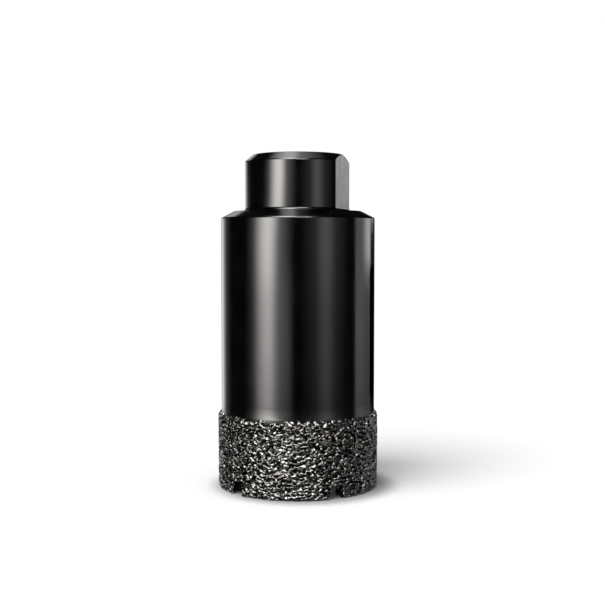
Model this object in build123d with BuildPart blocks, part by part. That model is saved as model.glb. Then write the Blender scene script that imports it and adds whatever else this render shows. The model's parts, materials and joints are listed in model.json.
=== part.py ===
from build123d import *

import os
from random import Random

# Diamond core bit for an angle grinder. A turned steel body carries a spindle hub with a female
# M14 thread above a hollow barrel. Diamond grains are brazed over the outside, the end and the
# inside of the barrel's cutting rim.
#
# All lengths are in millimetres and all angles in degrees. The bit stands on its cutting rim: the
# origin is on the axis, in the plane of the rim's end, and +Z runs up to the mouth of the thread.
# The spanner flats face +X and -X, and the two side slots lie in line with them.

# ---------------------------------------------------------------- driving dimensions

# Overall
overall_length = 68.0
barrel_diameter = 31.6
barrel_wall = 2.4

# Spindle hub
hub_diameter = 22.0
hub_height = 11.5
hub_chamfer_width = 1.8
hub_chamfer_height = 1.5
hub_root_radius = 0.6
spanner_width = 19.0

# Shoulder between the hub and the barrel
shoulder_ledge_width = 2.1
shoulder_chamfer_height = 1.4
edge_break_radius = 0.3

# Spindle thread, drawn plain at its major diameter
thread_diameter = 14.0
thread_mouth_chamfer = 0.8

# Hollow of the barrel
web_thickness = 6.5
ceiling_corner_radius = 1.0

# Side slots, for dust and for pushing out a stuck core
slot_count = 2
slot_width = 4.0
slot_length = 27.8
slot_height_above_grit = 2.3

# Brazed diamond layer on the cutting rim
grit_outer_thickness = 0.7
grit_inner_thickness = 0.6
grit_end_thickness = 0.7
grit_outer_height = 15.9
grit_inner_height = 12.0
grit_taper_height = 0.8
grit_edge_radius = 0.45

# Nicks between the clusters of grains, scattered in rows round the outside of the layer
nick_rows = 4
nicks_per_row = 30
nick_length = 2.1
nick_width = 1.3
nick_depth = 0.4
nick_floor_share = 0.2
nick_tilt = 30.0
nick_scatter = 0.2
nick_row_stagger = 0.3
nick_seed = 16
nick_clearance_above_notch = 1.2

# Notches in the cutting rim: one flank leans back, the other is upright
notch_count = 5
first_notch_angle = -47.0
last_notch_angle = 237.5
notch_foot_width = 3.4
notch_head_width = 2.1
notch_height = 2.6
notch_corner_radius = 0.4
notch_coat_thickness = 0.5

# ---------------------------------------------------------------- derived dimensions

barrel_radius = barrel_diameter / 2
bore_radius = barrel_radius - barrel_wall
hub_radius = hub_diameter / 2
thread_radius = thread_diameter / 2
shoulder_height = overall_length - hub_height
shoulder_ledge_radius = hub_radius + shoulder_ledge_width
ceiling_height = shoulder_height - web_thickness
grit_outer_radius = barrel_radius + grit_outer_thickness
grit_inner_radius = bore_radius - grit_inner_thickness
slot_middle_height = grit_outer_height + slot_height_above_grit + slot_length / 2
nick_spacing = 360.0 / nicks_per_row
first_nick_height = notch_height + nick_clearance_above_notch + nick_width / 2
last_nick_height = grit_outer_height - grit_taper_height - nick_length
nick_row_pitch = (last_nick_height - first_nick_height) / (nick_rows - 1)
notch_places = {
    "radius": 0,
    "count": notch_count,
    "start_angle": first_notch_angle,
    "angular_range": last_notch_angle - first_notch_angle,
    "endpoint": True,
}


# ---------------------------------------------------------------- cutters


def notch_cutter(coat):
    """One rim notch that opens towards +X, larger all round by the coat that will line it."""
    leaning_foot = -notch_foot_width / 2 - coat
    upright_side = notch_foot_width / 2 + coat
    leaning_head = notch_foot_width / 2 - notch_head_width - coat
    head_height = notch_height + coat
    with BuildPart() as cutter:
        with BuildSketch(Plane.YZ):
            with BuildLine():
                Polyline(
                    (leaning_foot, 0),
                    (upright_side, 0),
                    (upright_side, head_height),
                    (leaning_head, head_height),
                    close=True,
                )
            make_face()
        extrude(amount=2 * grit_outer_radius)
        head_edges = cutter.edges().filter_by(Axis.X).group_by(Axis.Z)[-1]
        fillet(head_edges, radius=notch_corner_radius + coat)
    return cutter.part


def nick_cutter():
    """One lozenge-shaped nick that opens towards +X and narrows to a small floor."""
    corners = []
    for reach, share in ((-nick_depth, nick_floor_share), (nick_depth, 2 - nick_floor_share)):
        x = grit_outer_radius + reach
        half_length = share * nick_length / 2
        half_width = share * nick_width / 2
        corners += [(x, half_length, 0), (x, 0, half_width), (x, -half_length, 0), (x, 0, -half_width)]
    with BuildPart() as cutter:
        ConvexPolyhedron(corners)
    return cutter.part


def nick_places():
    """Where the nicks lie: rows that start above the first notch, scattered and turned at random."""
    scatter = Random(nick_seed)
    places = []
    for row in range(nick_rows):
        height = first_nick_height + row * nick_row_pitch
        for place in range(nicks_per_row):
            along = place + row * nick_row_stagger + scatter.uniform(-nick_scatter, nick_scatter)
            turn = first_notch_angle + along * nick_spacing
            rise = height + scatter.uniform(-nick_scatter, nick_scatter) * nick_row_pitch
            tilt = scatter.uniform(-nick_tilt, nick_tilt)
            places.append(Location((0, 0, rise), (0, 0, turn)) * Location((0, 0, 0), (tilt, 0, 0)))
    return places


def slot_cutter():
    """One upright round-ended side slot that opens towards +X."""
    with BuildPart() as cutter:
        with BuildSketch(Plane.YZ):
            with Locations((0, slot_middle_height)):
                SlotOverall(slot_length, slot_width, rotation=90)
        extrude(amount=2 * barrel_radius)
    return cutter.part


# ---------------------------------------------------------------- steel body

with BuildPart() as core_bit_body:
    # Turned outside: barrel, shoulder and hub
    with BuildSketch(Plane.XZ):
        with BuildLine():
            Polyline(
                (0, grit_end_thickness),
                (barrel_radius, grit_end_thickness),
                (barrel_radius, shoulder_height - shoulder_chamfer_height),
                (shoulder_ledge_radius, shoulder_height),
                (hub_radius, shoulder_height),
                (hub_radius, overall_length - hub_chamfer_height),
                (hub_radius - hub_chamfer_width, overall_length),
                (0, overall_length),
                close=True,
            )
        make_face()
    revolve(axis=Axis.Z)

    # Broken edges of the two turned chamfers
    turned_edges = core_bit_body.edges().filter_by(GeomType.CIRCLE)
    shoulder_edges = turned_edges.filter_by_position(
        Axis.Z, shoulder_height - shoulder_chamfer_height, shoulder_height
    ).sort_by(SortBy.RADIUS)[1:]
    hub_edges = turned_edges.filter_by_position(
        Axis.Z, overall_length - hub_chamfer_height, overall_length
    )
    fillet(shoulder_edges + hub_edges, radius=edge_break_radius)

    # Two milled spanner flats, down to the shoulder
    with BuildSketch(Plane.XY.offset(shoulder_height)):
        Rectangle(2 * hub_diameter, 2 * hub_diameter)
        Rectangle(spanner_width, 2 * hub_diameter, mode=Mode.SUBTRACT)
    extrude(amount=hub_height, mode=Mode.SUBTRACT)
    hub_root_edges = (
        core_bit_body.edges()
        .filter_by_position(Axis.Z, shoulder_height, shoulder_height)
        .sort_by(SortBy.LENGTH)[:-1]
    )
    fillet(hub_root_edges, radius=hub_root_radius)

    # Hollow barrel
    with BuildSketch(Plane.XY.offset(grit_end_thickness)):
        Circle(bore_radius)
    extrude(amount=ceiling_height - grit_end_thickness, mode=Mode.SUBTRACT)
    ceiling_corner = (
        core_bit_body.edges()
        .filter_by_position(Axis.Z, ceiling_height, ceiling_height)
        .sort_by(SortBy.RADIUS)[-1]
    )
    fillet(ceiling_corner, radius=ceiling_corner_radius)

    # Spindle hole, chamfered where the spindle enters
    with Locations((0, 0, overall_length)):
        CounterSinkHole(
            radius=thread_radius,
            counter_sink_radius=thread_radius + thread_mouth_chamfer,
            depth=hub_height + web_thickness,
            counter_sink_angle=90,
        )

    # Side slots and rim notches
    with PolarLocations(0, slot_count):
        add(slot_cutter(), mode=Mode.SUBTRACT)
    with PolarLocations(**notch_places):
        add(notch_cutter(notch_coat_thickness), mode=Mode.SUBTRACT)

core_bit_body.part.label = "core_bit_body"

# ---------------------------------------------------------------- diamond layer

with BuildPart() as diamond_grit_layer:
    # Sleeve that wraps the rim's outside, end and inside
    with BuildSketch(Plane.XZ):
        with BuildLine():
            Polyline(
                (grit_inner_radius, 0),
                (grit_outer_radius, 0),
                (grit_outer_radius, grit_outer_height - grit_taper_height),
                (barrel_radius, grit_outer_height),
                (bore_radius, grit_inner_height),
                (grit_inner_radius, grit_inner_height - grit_taper_height),
                close=True,
            )
        make_face()
    revolve(axis=Axis.Z)
    rim_edges = diamond_grit_layer.edges().group_by(Axis.Z)[0]
    fillet(rim_edges, radius=grit_edge_radius)
    add(core_bit_body.part, mode=Mode.SUBTRACT)

    with Locations(*nick_places()):
        add(nick_cutter(), mode=Mode.SUBTRACT)

    # The layer also lines the notches
    with PolarLocations(**notch_places):
        add(notch_cutter(0), mode=Mode.SUBTRACT)

diamond_grit_layer.part.label = "diamond_grit_layer"

# ---------------------------------------------------------------- files

os.makedirs("parts", exist_ok=True)
export_step(core_bit_body.part, "parts/core_bit_body.step")
export_step(diamond_grit_layer.part, "parts/diamond_grit_layer.step")
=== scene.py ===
import json
from itertools import product
from math import cos, pi, radians, sin
from random import Random

import bpy
import numpy as np
from mathutils import Matrix, Vector


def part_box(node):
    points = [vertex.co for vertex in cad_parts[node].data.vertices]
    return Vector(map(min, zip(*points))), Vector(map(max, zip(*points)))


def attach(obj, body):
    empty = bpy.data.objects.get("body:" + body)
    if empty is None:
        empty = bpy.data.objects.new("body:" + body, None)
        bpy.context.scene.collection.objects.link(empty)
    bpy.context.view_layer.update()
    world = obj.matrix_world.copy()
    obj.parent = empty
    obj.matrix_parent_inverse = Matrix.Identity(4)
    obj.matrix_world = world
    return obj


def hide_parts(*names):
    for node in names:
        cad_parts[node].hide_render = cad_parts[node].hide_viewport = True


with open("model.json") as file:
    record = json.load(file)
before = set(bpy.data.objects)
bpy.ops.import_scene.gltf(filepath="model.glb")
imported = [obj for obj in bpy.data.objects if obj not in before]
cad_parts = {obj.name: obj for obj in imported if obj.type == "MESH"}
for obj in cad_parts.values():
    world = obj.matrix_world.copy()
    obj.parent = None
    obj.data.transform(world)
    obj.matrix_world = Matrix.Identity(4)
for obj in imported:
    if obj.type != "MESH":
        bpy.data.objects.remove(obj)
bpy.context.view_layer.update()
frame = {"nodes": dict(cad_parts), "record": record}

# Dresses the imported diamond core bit: a gloss black turned finish on the steel body, the brazed
# diamond layer as a rough skin of real grains, the M14 thread inside the hub, and a white studio.
#
# Everything is in metres in the frame of the CAD model: the bit stands on its cutting rim on the
# plane z = 0, with its axis on Z.

MM = 0.001

# ---------------------------------------------------------------- sizes taken from the frame

body_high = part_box("core_bit_body")[1]
grit_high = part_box("diamond_grit_layer")[1]
mounts = {mount["name"]: mount for mount in frame["record"]["mounts"]}

barrel_radius = body_high[1]
grit_radius = grit_high[1]
grit_height = grit_high[2]
flat_distance = mounts["spanner_flat_pos_x"]["pos_m"][0]
thread_radius = mounts["spindle_thread"]["dims"]["r_mm"] * MM

# ---------------------------------------------------------------- sizes of the steel body

flat_foot = 57.0 * MM
thread_bottom = 49.6 * MM
thread_top = 67.6 * MM
thread_pitch = 2.0 * MM
iso_depth_per_pitch = 0.5413
thread_depth = iso_depth_per_pitch * thread_pitch

# ---------------------------------------------------------------- sizes of the diamond layer

barrel_wall = 2.4 * MM
inner_coat = 0.6 * MM
inner_height = 12.0 * MM
taper_height = 0.8 * MM
edge_radius = 0.45 * MM
reach_into_steel = 0.4 * MM
bore_radius = barrel_radius - barrel_wall
grit_inner_radius = bore_radius - inner_coat

notch_angles = np.linspace(-47.0, 237.5, 5)
notch_foot = 3.4 * MM
notch_head = 2.1 * MM
notch_height = 2.6 * MM
notch_corner = 0.4 * MM

nick_rows = 4
nicks_per_row = 30
nick_length = 2.1 * MM
nick_width = 1.3 * MM
nick_depth = 0.4 * MM
nick_floor_share = 0.2
nick_tilt = 30.0
nick_scatter = 0.2
nick_row_stagger = 0.3
nick_seed = 16
nick_clearance_above_notch = 1.2 * MM
notch_zone = notch_height + nick_clearance_above_notch
first_nick_height = notch_zone + nick_width / 2
last_nick_height = grit_height - taper_height - nick_length
nick_row_pitch = (last_nick_height - first_nick_height) / (nick_rows - 1)

# Grains: the spacing of the grid that carries them, the depth of the deepest crevice, how high the
# tallest grain stands as a share of that depth, and the share of it that is left inside the bore,
# where the steel hides the layer, and on the flanks of the nicks and notches
grain_grid = 0.132 * MM
grain_depth = 0.46 * MM
tallest_grain = 1.02
inner_relief = 0.55
hidden_relief = 0.05
nick_relief = 0.35
notch_relief = 0.8
grain_seed = 7

# ---------------------------------------------------------------- camera, key light and room

camera_azimuth = radians(16.5)
camera_distance = 219.362 * MM
camera_height = 49.780 * MM
camera_tilt = radians(3.1456)
camera_offset = 0.951 * MM
camera_lens = 63.198
camera_sensor = 36.0

room_light = 0.44

to_camera = Vector((sin(camera_azimuth), -cos(camera_azimuth), 0))
to_right = Vector((cos(camera_azimuth), sin(camera_azimuth), 0))

key_strength = 2.5
key_spread = radians(46)
key_bearing = radians(-41)
key_rise = radians(54)
key_level = to_camera * cos(key_bearing) + to_right * sin(key_bearing)
to_key = key_level * cos(key_rise) + Vector((0, 0, sin(key_rise)))


# ---------------------------------------------------------------- node helpers


class Nodes:
    """Short calls that add nodes to one tree."""

    def __init__(self, tree):
        self.tree = tree
        tree.nodes.clear()

    def add(self, kind, **settings):
        node = self.tree.nodes.new(kind)
        for name, value in settings.items():
            setattr(node, name, value)
        return node

    def set(self, socket, value):
        """Links value to the socket if it is one, and stores it there otherwise."""
        if isinstance(value, bpy.types.NodeSocket):
            self.tree.links.new(value, socket)
        else:
            socket.default_value = value

    def fill(self, node, *values):
        """Sets the node's first inputs, in their order."""
        for socket, value in zip(node.inputs, values):
            self.set(socket, value)
        return node.outputs[0]

    def math(self, operation, *values, clamp=False):
        return self.fill(self.add("ShaderNodeMath", operation=operation, use_clamp=clamp), *values)

    def ramp(self, value, start, end, low=0.0, high=1.0):
        """low before start, high after end, and a smooth step between them."""
        node = self.add("ShaderNodeMapRange", interpolation_type="SMOOTHSTEP")
        return self.fill(node, value, start, end, low, high)

    def window(self, value, start, full, still_full, end):
        """Fades in from start to full, and out from still_full to end."""
        return self.math("MULTIPLY", self.ramp(value, start, full), self.ramp(value, end, still_full))

    def mix_color(self, factor, first, second):
        """The node's colour sockets come after those for numbers and vectors."""
        node = self.add("ShaderNodeMix", data_type="RGBA")
        self.set(node.inputs[0], factor)
        self.set(node.inputs[6], first)
        self.set(node.inputs[7], second)
        return node.outputs[2]

    def noise(self, vector, scale, detail, roughness):
        node = self.add("ShaderNodeTexNoise")
        self.set(node.inputs["Vector"], vector)
        self.set(node.inputs["Scale"], scale)
        self.set(node.inputs["Detail"], detail)
        self.set(node.inputs["Roughness"], roughness)
        return node.outputs["Fac"]

    def combine(self, x, y, z):
        return self.fill(self.add("ShaderNodeCombineXYZ"), x, y, z)

    def separate(self, vector):
        node = self.add("ShaderNodeSeparateXYZ")
        self.set(node.inputs[0], vector)
        return node.outputs

    def bump(self, height, distance, normal=None):
        node = self.add("ShaderNodeBump")
        self.set(node.inputs["Height"], height)
        self.set(node.inputs["Distance"], distance)
        if normal is not None:
            self.set(node.inputs["Normal"], normal)
        return node.outputs[0]

    def principled(self, **values):
        """The values are named as the shader's inputs are, in lower case with underscores."""
        shader = self.add("ShaderNodeBsdfPrincipled")
        for name, value in values.items():
            self.set(shader.inputs[name.replace("_", " ").title().replace("Ior", "IOR")], value)
        return shader.outputs[0]

    def output(self, shader, kind="ShaderNodeOutputMaterial"):
        node = self.add(kind)
        self.set(node.inputs["Surface"], shader)


def new_material(name):
    material = bpy.data.materials.new(name)
    material.use_nodes = True
    return material, Nodes(material.node_tree)


# ---------------------------------------------------------------- materials


def black_steel_material():
    """Gloss black over turned steel: fine rings from the lathe, and upright cuts on the flats."""
    deep_black = (0.0005, 0.0005, 0.0006, 1)
    hazy_black = (0.0016, 0.0015, 0.0014, 1)
    broad_ring_height = 1.5
    ring_bump = 0.0006 * MM
    cut_height = 150.0
    cut_stretch = 0.03
    cut_roughness = 0.12
    meniscus_top = grit_height + 1.9 * MM
    meniscus_length = 2.2 * MM
    meniscus_bump = 0.12 * MM
    heat_top = grit_height + 2.2 * MM
    heat_foot = grit_height - 0.2 * MM
    heat_roughness = 0.06

    material, nodes = new_material("black_steel")
    place = nodes.add("ShaderNodeTexCoord").outputs["Object"]
    x, y, z = nodes.separate(place)
    square = nodes.math("ADD", nodes.math("MULTIPLY", x, x), nodes.math("MULTIPLY", y, y))
    radius = nodes.math("SQRT", square)

    # The lathe's rings have the same height all round, so they read only radius and height
    ring_place = nodes.combine(radius, 0.0, z)
    rings = nodes.noise(ring_place, scale=9000.0, detail=3.0, roughness=0.7)
    broad_rings = nodes.noise(ring_place, scale=900.0, detail=1.0, roughness=0.5)
    lathe_height = nodes.math("ADD", rings, nodes.math("MULTIPLY", broad_rings, broad_ring_height))

    # The milled flats carry upright cuts, much deeper than the rings
    on_flat = nodes.math("COMPARE", nodes.math("ABSOLUTE", x), flat_distance, 0.02 * MM)
    on_flat = nodes.math("MULTIPLY", on_flat, nodes.math("GREATER_THAN", z, flat_foot))
    cut_place = nodes.combine(x, y, nodes.math("MULTIPLY", z, cut_stretch))
    cuts = nodes.noise(cut_place, scale=1800.0, detail=2.0, roughness=0.6)

    turned = nodes.math("MULTIPLY", lathe_height, nodes.math("SUBTRACT", 1.0, on_flat))
    milled = nodes.math("MULTIPLY", cuts, nodes.math("MULTIPLY", on_flat, cut_height))
    normal = nodes.bump(nodes.math("ADD", turned, milled), ring_bump)

    # A thin meniscus of braze flares out towards the diamond layer
    meniscus = nodes.math("DIVIDE", nodes.math("SUBTRACT", meniscus_top, z), meniscus_length, clamp=True)
    normal = nodes.bump(nodes.math("MULTIPLY", meniscus, meniscus), meniscus_bump, normal)

    # Handling haze and the heat of brazing dull the gloss a little, most just above the grit
    haze = nodes.noise(place, scale=160.0, detail=3.0, roughness=0.55)
    heated = nodes.ramp(z, heat_top, heat_foot)
    ring_roughness = nodes.ramp(rings, 0.3, 0.7, low=0.07, high=0.15)
    haze_roughness = nodes.ramp(haze, 0.35, 0.75, low=0.0, high=0.05)
    roughness = nodes.math("ADD", ring_roughness, haze_roughness)
    roughness = nodes.math("ADD", roughness, nodes.math("MULTIPLY", heated, heat_roughness))
    roughness = nodes.math("ADD", roughness, nodes.math("MULTIPLY", on_flat, cut_roughness))

    color = nodes.mix_color(nodes.ramp(haze, 0.3, 0.8), deep_black, hazy_black)
    nodes.output(nodes.principled(base_color=color, roughness=roughness, ior=1.9,
                                  specular_tint=(1, 0.975, 0.95, 1), normal=normal))
    return material


def brazed_grit_material():
    """Nickel braze over the grains, bright on the ridges, with painted shade that darkens the colour in
    the crevices. The mesh carries how far each spot stands out of the crevices, from 0 to 1, in its
    attribute "level"."""
    # The first colour is painted shade for the crevices, the second the braze on the ridges
    painted_crevice_shade = (0.012, 0.012, 0.012, 1)
    ridge_color = (0.48, 0.463, 0.44, 1)
    facet_bump = 0.10 * MM
    grain_bump = 0.003 * MM

    material, nodes = new_material("brazed_grit")
    place = nodes.add("ShaderNodeTexCoord").outputs["Object"]
    level = nodes.add("ShaderNodeAttribute", attribute_name="level").outputs["Fac"]
    grain = nodes.noise(place, scale=5200.0, detail=3.0, roughness=0.6)
    facets = nodes.noise(place, scale=2000.0, detail=1.0, roughness=0.5)
    patches = nodes.noise(place, scale=450.0, detail=2.0, roughness=0.5)

    # Painted shade: the colour darkens towards the crevices by how deep each spot lies, and random
    # patches vary the tone
    patch_share = nodes.ramp(patches, 0.3, 0.65, low=0.6, high=1.0)
    ridge = nodes.math("MULTIPLY", nodes.ramp(level, 0.12, 0.7), patch_share)
    color = nodes.mix_color(ridge, painted_crevice_shade, ridge_color)
    roughness = nodes.ramp(grain, 0.3, 0.7, low=0.12, high=0.28)
    normal = nodes.bump(grain, grain_bump, nodes.bump(facets, facet_bump))
    nodes.output(nodes.principled(base_color=color, metallic=1.0, roughness=roughness, normal=normal))
    return material


# ---------------------------------------------------------------- mesh helpers


def rounded_polygon_distance(px, py, corners, radius):
    """Signed distance from points to a closed polygon that is grown by radius, which rounds its
    corners. It is negative inside."""
    corners = np.asarray(corners)
    nearest = np.full(np.broadcast(px, py).shape, np.inf)
    inside = np.zeros(nearest.shape, bool)
    for (ax, ay), (bx, by) in zip(corners, np.roll(corners, -1, 0)):
        ex, ey = bx - ax, by - ay
        along = ((px - ax) * ex + (py - ay) * ey) / (ex * ex + ey * ey)
        along = along.clip(0, 1)
        nearest = np.minimum(nearest, np.hypot(px - ax - along * ex, py - ay - along * ey))
        if ay != by:
            crosses = (ay > py) != (by > py)
            inside ^= crosses & (px < ax + (py - ay) * ex / ey)
    return np.where(inside, -nearest, nearest) - radius


def shaped_noise(rng, shape, blurs):
    """Noise of unit spread on the grid. blurs are how far its blobs are smeared along the rim,
    through the layer and upwards. Waves much longer than the blobs are left out."""
    longest = 2.6
    freq = np.meshgrid(*(np.fft.fftfreq(count, grain_grid) for count in shape[:2]),
                       np.fft.rfftfreq(shape[2], grain_grid), indexing="ij")
    square = sum((part * blur) ** 2 for part, blur in zip(freq, blurs))

    def smooth(scale):
        return np.exp(-2 * (pi * scale) ** 2 * square)

    white = np.fft.rfftn(rng.standard_normal(shape).astype(np.float32))
    field = np.fft.irfftn(white * (smooth(1.0) - smooth(longest)), shape)
    return (field / field.std()).astype(np.float32)


def zero_crossings(field, cells, edges):
    """For each cell, the sum and the number of the points where field passes zero on the edges. An
    edge is given by its lower corner in the cell and the axis that it runs along."""
    total = np.zeros((len(cells), 3))
    hits = np.zeros(len(cells))
    for corner, axis in edges:
        step = np.eye(3, dtype=int)[axis]
        first = cells + np.array(corner)
        a = field[tuple(first.T)]
        b = field[tuple((first + step).T)]
        cross = (a > 0) != (b > 0)
        share = np.where(cross, a / np.where(cross, a - b, 1), 0)
        total += (first + share[:, None] * step) * cross[:, None]
        hits += cross
    return total, hits


def surface_net(field):
    """Vertices (in grid coordinates) and quads of the surface where field passes zero. field is
    solid where positive. The first and last layers along axis 0 are closed flat."""
    solid = field > 0
    corners = list(product((0, 1), repeat=3))
    cells = tuple(s - 1 for s in field.shape)
    count = np.zeros(cells, np.int8)
    for i, j, k in corners:
        count += solid[i:i + cells[0], j:j + cells[1], k:k + cells[2]]
    active = np.argwhere((count > 0) & (count < 8))
    index = np.full(cells, -1, np.int64)
    index[tuple(active.T)] = np.arange(len(active))

    edges = [(corner, axis) for corner in corners for axis in range(3) if not corner[axis]]
    total, hits = zero_crossings(field, active, edges)
    points = total / hits[:, None]

    # The closing layers lie flat on the cut between two segments, with a rim that both share
    for layer, side in ((0, 1), (cells[0] - 1, 0)):
        here = np.flatnonzero(active[:, 0] == layer)
        edges = [((side, 0, 0), 1), ((side, 0, 1), 1), ((side, 0, 0), 2), ((side, 1, 0), 2)]
        total, hits = zero_crossings(field, active[here], edges)
        rim = hits > 0
        flat = active[here] + np.array((side, 0.5, 0.5))
        flat[rim] = total[rim] / hits[rim][:, None]
        flat[:, 0] = layer + side
        points[here] = flat

    quads = []
    for axis in range(3):
        u, v = (axis + 1) % 3, (axis + 2) % 3
        low = [slice(None)] * 3
        high = [slice(None)] * 3
        low[axis], high[axis] = slice(0, -1), slice(1, None)
        for other in (u, v):
            low[other] = high[other] = slice(1, -1)
        a, b = solid[tuple(low)], solid[tuple(high)]
        for entering in (False, True):
            spot = np.argwhere((b & ~a) if entering else (a & ~b))
            spot[:, u] += 1
            spot[:, v] += 1
            ring = []
            for du, dv in ((-1, -1), (0, -1), (0, 0), (-1, 0)):
                cell = spot.copy()
                cell[:, u] += du
                cell[:, v] += dv
                ring.append(index[tuple(cell.T)])
            ring = np.stack(ring, 1)
            quads.append(ring[:, ::-1] if entering else ring)
    return points, np.concatenate(quads)


def mesh_object(name, vertices, faces, material):
    """A mesh object from arrays of vertices and quads."""
    mesh = bpy.data.meshes.new(name)
    mesh.vertices.add(len(vertices))
    mesh.vertices.foreach_set("co", np.asarray(vertices, np.float32).ravel())
    mesh.loops.add(faces.size)
    mesh.loops.foreach_set("vertex_index", faces.ravel().astype(np.int32))
    mesh.polygons.add(len(faces))
    mesh.polygons.foreach_set("loop_start", np.arange(0, faces.size, faces.shape[1], dtype=np.int32))
    mesh.update(calc_edges=True)
    mesh.validate()
    mesh.materials.append(material)
    piece = bpy.data.objects.new(name, mesh)
    bpy.context.scene.collection.objects.link(piece)
    return piece


# ---------------------------------------------------------------- diamond layer


def plain_depth(radii, heights):
    """How deep each spot of the ring's section lies under the layer's plain skin. The section
    reaches a little into the steel rim that it wraps, and is closed there."""
    r = edge_radius
    hidden = reach_into_steel
    section = [
        (grit_inner_radius + r, r), (grit_radius - r, r),
        (grit_radius - r, grit_height - taper_height - r), (barrel_radius - r, grit_height - r),
        (barrel_radius - r - hidden, grit_height - hidden - r),
        (bore_radius + r + hidden, inner_height - r - hidden),
        (bore_radius + r, inner_height - r),
        (grit_inner_radius + r, inner_height - taper_height - r),
    ]
    return -rounded_polygon_distance(radii, heights, section, r).astype(np.float32)


def grain_level(shape):
    """How far the braze stands out of the crevices on the grid, from 0 to about 1. It has run over
    the grains in round-edged lumps, with steep crevices between them."""
    steepness = 2.0
    fullness = 0.05
    unevenness = 0.06
    rng = np.random.default_rng(grain_seed)
    lumps = shaped_noise(rng, shape, (0.22 * MM, 0.16 * MM, 0.115 * MM))
    fine = shaped_noise(rng, shape, (0.08 * MM, 0.08 * MM, 0.07 * MM))
    broad = shaped_noise(rng, shape, (0.7 * MM, 0.7 * MM, 0.7 * MM))
    level = 0.5 + 0.5 * np.tanh(steepness * (lumps + fullness))
    return level + unevenness * fine + unevenness * broad


def nick_places():
    """Turn, height and tilt of each nick, in the order in which the CAD model scatters them."""
    scatter = Random(nick_seed)
    places = []
    for row in range(nick_rows):
        height = first_nick_height + row * nick_row_pitch
        for place in range(nicks_per_row):
            along = place + row * nick_row_stagger + scatter.uniform(-nick_scatter, nick_scatter)
            rise = height + scatter.uniform(-nick_scatter, nick_scatter) * nick_row_pitch
            tilt = radians(scatter.uniform(-nick_tilt, nick_tilt))
            turn = radians(notch_angles[0] + along * 360 / nicks_per_row)
            places.append((turn, rise, tilt))
    return places


def carve_nicks(field, angle, radius, height, depth):
    """Cuts the nicks between the clusters of grains out of the field. The grains fill them a little,
    and stand out less on their flanks."""
    filled = 0.10 * MM
    flank = 0.37 * MM
    reach_along = 1.4 * nick_length
    reach_inward = nick_depth + 0.3 * MM
    for turn, rise, tilt in nick_places():
        swing = (angle - turn + pi) % (2 * pi) - pi
        near_angle = np.flatnonzero(np.abs(swing) * grit_radius < reach_along)
        near_radius = np.flatnonzero(radius > grit_radius - reach_inward)
        near_height = np.flatnonzero(np.abs(height - rise) < reach_along)
        across = np.sin(swing[near_angle])[:, None, None] * radius[near_radius][None, :, None]
        up = (height[near_height] - rise)[None, None, :]
        long = np.abs(across * cos(tilt) + up * sin(tilt)) / (nick_length / 2)
        wide = np.abs(up * cos(tilt) - across * sin(tilt)) / (nick_width / 2)
        inward = (radius[near_radius] - grit_radius)[None, :, None]
        share = 1 + (1 - nick_floor_share) * inward / nick_depth
        away = np.maximum((long + wide - share) * flank, -nick_depth - inward)
        part = np.ix_(near_angle, near_radius, near_height)
        field[part] = np.minimum(field[part], away + filled - nick_relief * depth[part])


def carve_notches(field, angle, radius, height, depth):
    """Cuts the notches through the rim out of the field. The tips of the grains in them lie a little
    behind the CAD model's walls."""
    widened = 0.10 * MM
    below_rim = -2 * MM
    reach_along = radians(14)
    g = notch_corner
    leaning_head = notch_foot / 2 - notch_head
    outline = [
        (-notch_foot / 2 + g, below_rim), (notch_foot / 2 - g, below_rim),
        (notch_foot / 2 - g, notch_height - g), (leaning_head + g, notch_height - g),
    ]
    low = np.flatnonzero(height < notch_zone)
    for place in np.radians(notch_angles):
        turn = (angle - place + pi) % (2 * pi) - pi
        near_angle = np.flatnonzero(np.abs(turn) < reach_along)
        across = np.sin(turn[near_angle])[:, None, None] * radius[None, :, None]
        away = rounded_polygon_distance(across, height[None, None, low], outline, g)
        part = np.ix_(near_angle, np.arange(len(radius)), low)
        field[part] = np.minimum(field[part], away - widened - notch_relief * depth[part])


def grit_field():
    """The diamond layer as a field on a grid of angle, radius and height, how deep each spot of the
    ring's section lies as a share of the deepest crevice there, and the axes."""
    steps = round(2 * pi * grit_radius / grain_grid)
    margin = 3 * grain_grid
    angle = np.arange(steps) * 2 * pi / steps
    radius = np.arange(grit_inner_radius - margin, grit_radius + margin, grain_grid)
    height = np.arange(-margin, grit_height + margin, grain_grid)
    radii, heights = np.meshgrid(radius, height, indexing="ij")

    ring = plain_depth(radii, heights)
    level = grain_level((steps, len(radius), len(height)))

    # The grains stand out less inside the bore, and the skin is plain where the steel hides it
    relief = np.where(radii < bore_radius + reach_into_steel, inner_relief, 1.0)
    buried = (ring > -grain_grid) & (radii > bore_radius)
    buried &= radii < barrel_radius - reach_into_steel
    relief[buried & (heights > notch_zone)] = hidden_relief
    relief = relief.astype(np.float32)
    depth = grain_depth * relief * (1 - level.clip(0, tallest_grain))
    field = ring[None] - depth
    carve_nicks(field, angle, radius, height, depth)
    carve_notches(field, angle, radius, height, depth)
    return field, ring / (grain_depth * relief), angle, radius, height


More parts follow.
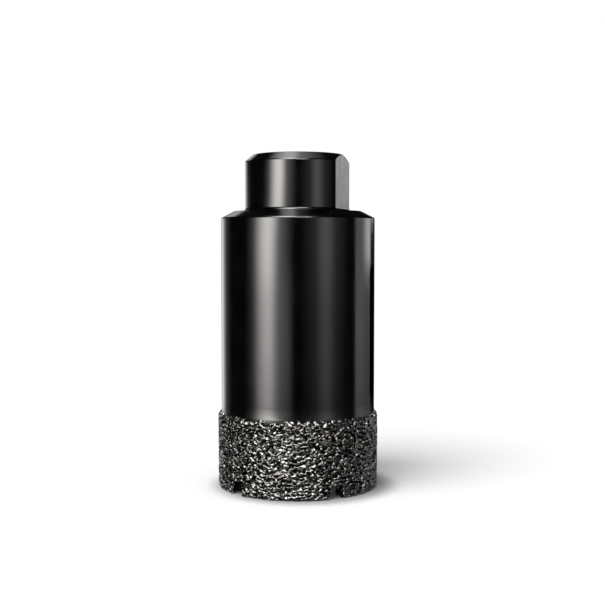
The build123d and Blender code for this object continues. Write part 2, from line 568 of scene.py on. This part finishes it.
def diamond_grit():
    """The diamond layer in five segments, which meet at the middles of the notches."""
    material = brazed_grit_material()
    field, sunk_share, angle, radius, height = grit_field()
    steps = len(angle)
    cuts = sorted(round(a / 360 * steps) for a in notch_angles % 360)

    # An empty layer before and after each segment closes it
    empty = np.full((1,) + field.shape[1:], -1.0, np.float32)
    for number, (start, end) in enumerate(zip(cuts, cuts[1:] + [cuts[0] + steps]), 1):
        layers = np.arange(start, end + 1) % steps
        block = np.concatenate([empty, field[layers], empty])
        points, quads = surface_net(block)
        turn = (points[:, 0] - 1 + start) * 2 * pi / steps
        reach = radius[0] + points[:, 1] * grain_grid
        rise = height[0] + points[:, 2] * grain_grid
        vertices = np.stack([reach * np.cos(turn), reach * np.sin(turn), rise], 1)
        piece = mesh_object(f"diamond_grit_segment_{number}", vertices, quads, material)
        sunk = sunk_share[tuple(np.rint(points[:, 1:]).astype(int).T)]
        level = piece.data.attributes.new("level", "FLOAT", "POINT")
        level.data.foreach_set("value", (1 - sunk).clip(0, 1).astype(np.float32))
        piece.data.shade_smooth()
        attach(piece, "root")
        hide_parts("diamond_grit_layer")


# ---------------------------------------------------------------- spindle thread


def spindle_thread(material):
    """The ridge of the M14 x 2 thread, wound inside the plain hole of the hub. It runs out into the
    wall at both ends."""
    bury = 0.08 * MM
    end_sink = 0.02 * MM
    end_thickness = 0.15
    run_out_turns = 0.4
    steps_per_turn = 72
    length = thread_top - thread_bottom
    turns = length / thread_pitch
    count = int(turns * steps_per_turn) + 1
    crest, root = thread_pitch / 8, thread_pitch * 7 / 16
    wall = thread_radius + bury
    rings = []
    for step in range(count):
        share = step / (count - 1)
        swing = 2 * pi * turns * share
        run_out = min(1.0, min(share, 1 - share) * turns / run_out_turns)
        tip = thread_radius - thread_depth * run_out + end_sink
        middle = thread_bottom + length * share
        thickness = max(run_out, end_thickness)
        for reach, rise in ((wall, -root), (tip, -crest), (tip, crest), (wall, root)):
            rings.append((reach * cos(swing), reach * sin(swing), middle + rise * thickness))
    faces = []
    for step in range(count - 1):
        for corner in range(4):
            a, b = step * 4 + corner, step * 4 + (corner + 1) % 4
            faces.append((a, b, b + 4, a + 4))
    last = (count - 1) * 4
    faces.append((3, 2, 1, 0))
    faces.append((last, last + 1, last + 2, last + 3))
    piece = mesh_object("spindle_thread", np.array(rings), np.array(faces), material)
    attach(piece, "root")


# ---------------------------------------------------------------- studio


def studio_boxes(nodes, across, ahead, up):
    """The strength of each soft box in a direction, which is given by its shares towards the right,
    towards the camera and upwards."""
    bearing = nodes.math("MULTIPLY", nodes.math("ARCTAN2", across, ahead), 180 / pi)
    rise = nodes.math("MULTIPLY", nodes.math("ARCSINE", up), 180 / pi)
    behind = nodes.math("ABSOLUTE", bearing)
    ramp = nodes.ramp
    window = nodes.window

    def both(first, second):
        return nodes.math("MULTIPLY", first, second)

    def light(strength, *shares):
        for share in shares:
            strength = both(share, strength)
        return strength

    # The main box stands a little further round for the hub than for the barrel, and is brighter
    main = nodes.math("SUBTRACT", bearing, ramp(rise, 1.6, 2.4, 0.0, 5.0))
    main_share = ramp(rise, 1.6, 2.4, 0.88, 1.05)

    # Below the horizon the metal sees the boxes again in the table, dimmer
    table = both(ramp(rise, -3.2, -0.8, 0.62, 1.0), ramp(rise, -11, -6, 0.5, 1.0))
    table = both(table, ramp(rise, -13.0, -9.6))
    front = both(table, ramp(rise, 14, 6))
    above_table = ramp(rise, -1.6, -0.8)
    side_rise = both(ramp(rise, -14, -4, 0.35, 1.0), ramp(rise, 8, 4))
    side_fade = nodes.math("MAXIMUM", above_table, ramp(bearing, 132, 98, 0.4, 1.0))

    # High up, boxes are placed by the direction's shares
    ceiling = both(ramp(across, -0.42, -0.13), ramp(ahead, -0.54, -0.38))
    ceiling = both(ceiling, ramp(up, 0.5, 0.75))
    in_front = ramp(ahead, 0.05, 0.25)
    high_front = both(in_front, ramp(up, 0.5, 0.7))
    lower_front = both(in_front, window(up, 0.38, 0.5, 0.62, 0.72))

    return [
        # Main box on the left and the glow round it
        light(5.2, window(main, -71, -45, -44, -26), main_share, front),
        light(1.0, window(main, -84, -50, -38, -4), front),
        light(0.5, window(bearing, -36, -27, -16, -4), ramp(rise, -1.0, -2.5), table),
        # Weak box on the right and the glow round it
        light(0.45, window(bearing, 24, 41, 42, 60), front),
        light(0.25, window(bearing, 0, 38, 44, 86), front),
        # Screen at the right side, with a streak above the table
        light(0.58, window(bearing, 92, 97, 135, 140), side_fade, side_rise),
        light(1.2, window(bearing, 108, 127, 130, 142), above_table, ramp(rise, 10, 4)),
        # Reflector that lights the spanner flat
        light(1.7, window(bearing, 133, 146, 148, 161), window(rise, 1.2, 1.9, 7, 10)),
        # Screens behind the bit
        light(1.5, window(bearing, -170, -156, -154, -133), window(rise, -14, -10, 4, 9)),
        light(0.8, window(bearing, -173, -168, -162, -158), window(rise, 4, 9, 24, 28)),
        light(0.22, window(bearing, -160, -145, -140, -116), window(rise, -14, -10, 2, 6)),
        light(0.5, ramp(behind, 160, 174), window(rise, -14, -10, 6, 9)),
        # Ceiling box, brightest in its left half
        light(1.7, ceiling, ramp(across, 0.06, -0.10)),
        light(1.0, ceiling, ramp(across, 0.42, -0.05)),
        # Key box high up in front on the left, and a lower one in front a little to the right
        light(5.4, window(across, -0.56, -0.38, -0.20, -0.02), high_front),
        light(7.0, window(across, -0.16, 0.00, 0.22, 0.40), lower_front),
        # Table
        light(0.04, ramp(rise, -14, -30)),
    ]


def studio_world():
    """White to the camera. Metal sees a dark room with soft boxes, placed by their bearing from the
    camera's side of the bit, in degrees towards the right, and by their rise above the horizon.
    Everything else gets the same plain light from all sides."""
    world = bpy.data.worlds.new("studio")
    bpy.context.scene.world = world
    world.use_nodes = True
    world.cycles.sampling_method = "NONE"
    nodes = Nodes(world.node_tree)
    direction = nodes.add("ShaderNodeTexCoord").outputs["Generated"]
    shares = []
    for axis in (to_right, to_camera, Vector((0, 0, 1))):
        dot = nodes.add("ShaderNodeVectorMath", operation="DOT_PRODUCT")
        nodes.fill(dot, direction, axis)
        shares.append(dot.outputs["Value"])

    dark_room = 0.008
    seen = dark_room
    for box in studio_boxes(nodes, *shares):
        seen = nodes.math("ADD", box, seen)

    path = nodes.add("ShaderNodeLightPath").outputs
    metal = nodes.math("MAXIMUM", path["Is Glossy Ray"], path["Is Transmission Ray"])
    not_metal = nodes.math("SUBTRACT", 1.0, metal)
    level = nodes.math("ADD", nodes.math("MULTIPLY", metal, seen),
                       nodes.math("MULTIPLY", not_metal, room_light))
    level = nodes.math("MAXIMUM", level, path["Is Camera Ray"])
    shader = nodes.add("ShaderNodeBackground")
    nodes.fill(shader, (1, 1, 1, 1), level)
    nodes.output(shader.outputs[0], "ShaderNodeOutputWorld")


def studio_floor():
    """A white table that keeps the bit's shadow, has a painted shadow round the bit's base, and runs out
    into the white backdrop. Metal doesn't see it, but the table that the world has for it."""
    reach = 3.0
    # A painted shadow round the bit: its middle, and the distances over which it fades out
    painted_shadow_middle = (to_right * 1.2 + to_camera * 0.7) * MM
    painted_shadow_start, painted_shadow_end = 15.6 * MM, 21 * MM
    glow_end = 22 * MM
    table_end, backdrop_start = 80 * MM, 240 * MM
    # The colour of the painted shadow, and of the paper
    painted_shadow_color = (0.46, 0.46, 0.46, 1)
    paper_color = (0.93, 0.93, 0.93, 1)
    white = (1, 1, 1, 1)

    vertices = np.array([(-reach, -reach, 0), (reach, -reach, 0), (reach, reach, 0), (-reach, reach, 0)])
    material, nodes = new_material("studio_floor")
    place = nodes.add("ShaderNodeTexCoord").outputs["Object"]
    length = nodes.add("ShaderNodeVectorMath", operation="LENGTH")
    nodes.fill(length, place)
    away = length.outputs["Value"]

    # Painted shadow: the paper is coloured darker close to where the bit stands, most in front and to
    # the right
    distance = nodes.add("ShaderNodeVectorMath", operation="DISTANCE")
    nodes.fill(distance, place, painted_shadow_middle)
    painted_shadow_fade = nodes.ramp(distance.outputs["Value"], painted_shadow_start, painted_shadow_end)
    paper = nodes.fill(nodes.add("ShaderNodeBsdfDiffuse"),
                       nodes.mix_color(painted_shadow_fade, painted_shadow_color, paper_color))

    # A faint glow lifts the shadow, and far out the table is as white as the backdrop
    glow_strength = nodes.ramp(away, grit_radius, glow_end, 0.02, 0.06)
    glow = nodes.fill(nodes.add("ShaderNodeEmission"), white, glow_strength)
    near = nodes.fill(nodes.add("ShaderNodeAddShader"), paper, glow)
    far = nodes.fill(nodes.add("ShaderNodeEmission"), white, 1.0)
    far_share = nodes.ramp(away, table_end, backdrop_start)
    nodes.output(nodes.fill(nodes.add("ShaderNodeMixShader"), far_share, near, far))
    floor = mesh_object("studio_floor", vertices, np.array([(0, 1, 2, 3)]), material)
    floor.visible_glossy = False


def studio_lamps():
    """The key light stands to the left in front, high up, and throws the shadow to the right."""
    lamp = bpy.data.lights.new("key", "SUN")
    lamp.energy = key_strength
    lamp.angle = key_spread
    lamp_object = bpy.data.objects.new("key", lamp)
    lamp_object.rotation_euler = to_key.to_track_quat("Z", "Y").to_euler()
    lamp_object.visible_glossy = False
    bpy.context.scene.collection.objects.link(lamp_object)


def studio_camera():
    """Looks at the front of the bit, a little from the right and slightly downwards."""
    data = bpy.data.cameras.new("camera")
    data.sensor_width = camera_sensor
    data.lens = camera_lens
    data.clip_start = 1 * MM
    camera = bpy.data.objects.new("camera", data)
    place = to_right * camera_offset + to_camera * camera_distance + Vector((0, 0, camera_height))
    back = to_camera * cos(camera_tilt) + Vector((0, 0, sin(camera_tilt)))
    up = back.cross(to_right)
    camera.matrix_world = Matrix.Translation(place) @ Matrix((to_right, up, back)).transposed().to_4x4()
    bpy.context.scene.collection.objects.link(camera)
    bpy.context.scene.camera = camera


# ---------------------------------------------------------------- build

black_steel = black_steel_material()
body = frame["nodes"]["core_bit_body"]
for material_slot in body.material_slots:
    material_slot.material = black_steel
diamond_grit()
spindle_thread(black_steel)
studio_world()
studio_floor()
studio_lamps()
studio_camera()
bpy.context.scene.view_settings.view_transform = "Standard"
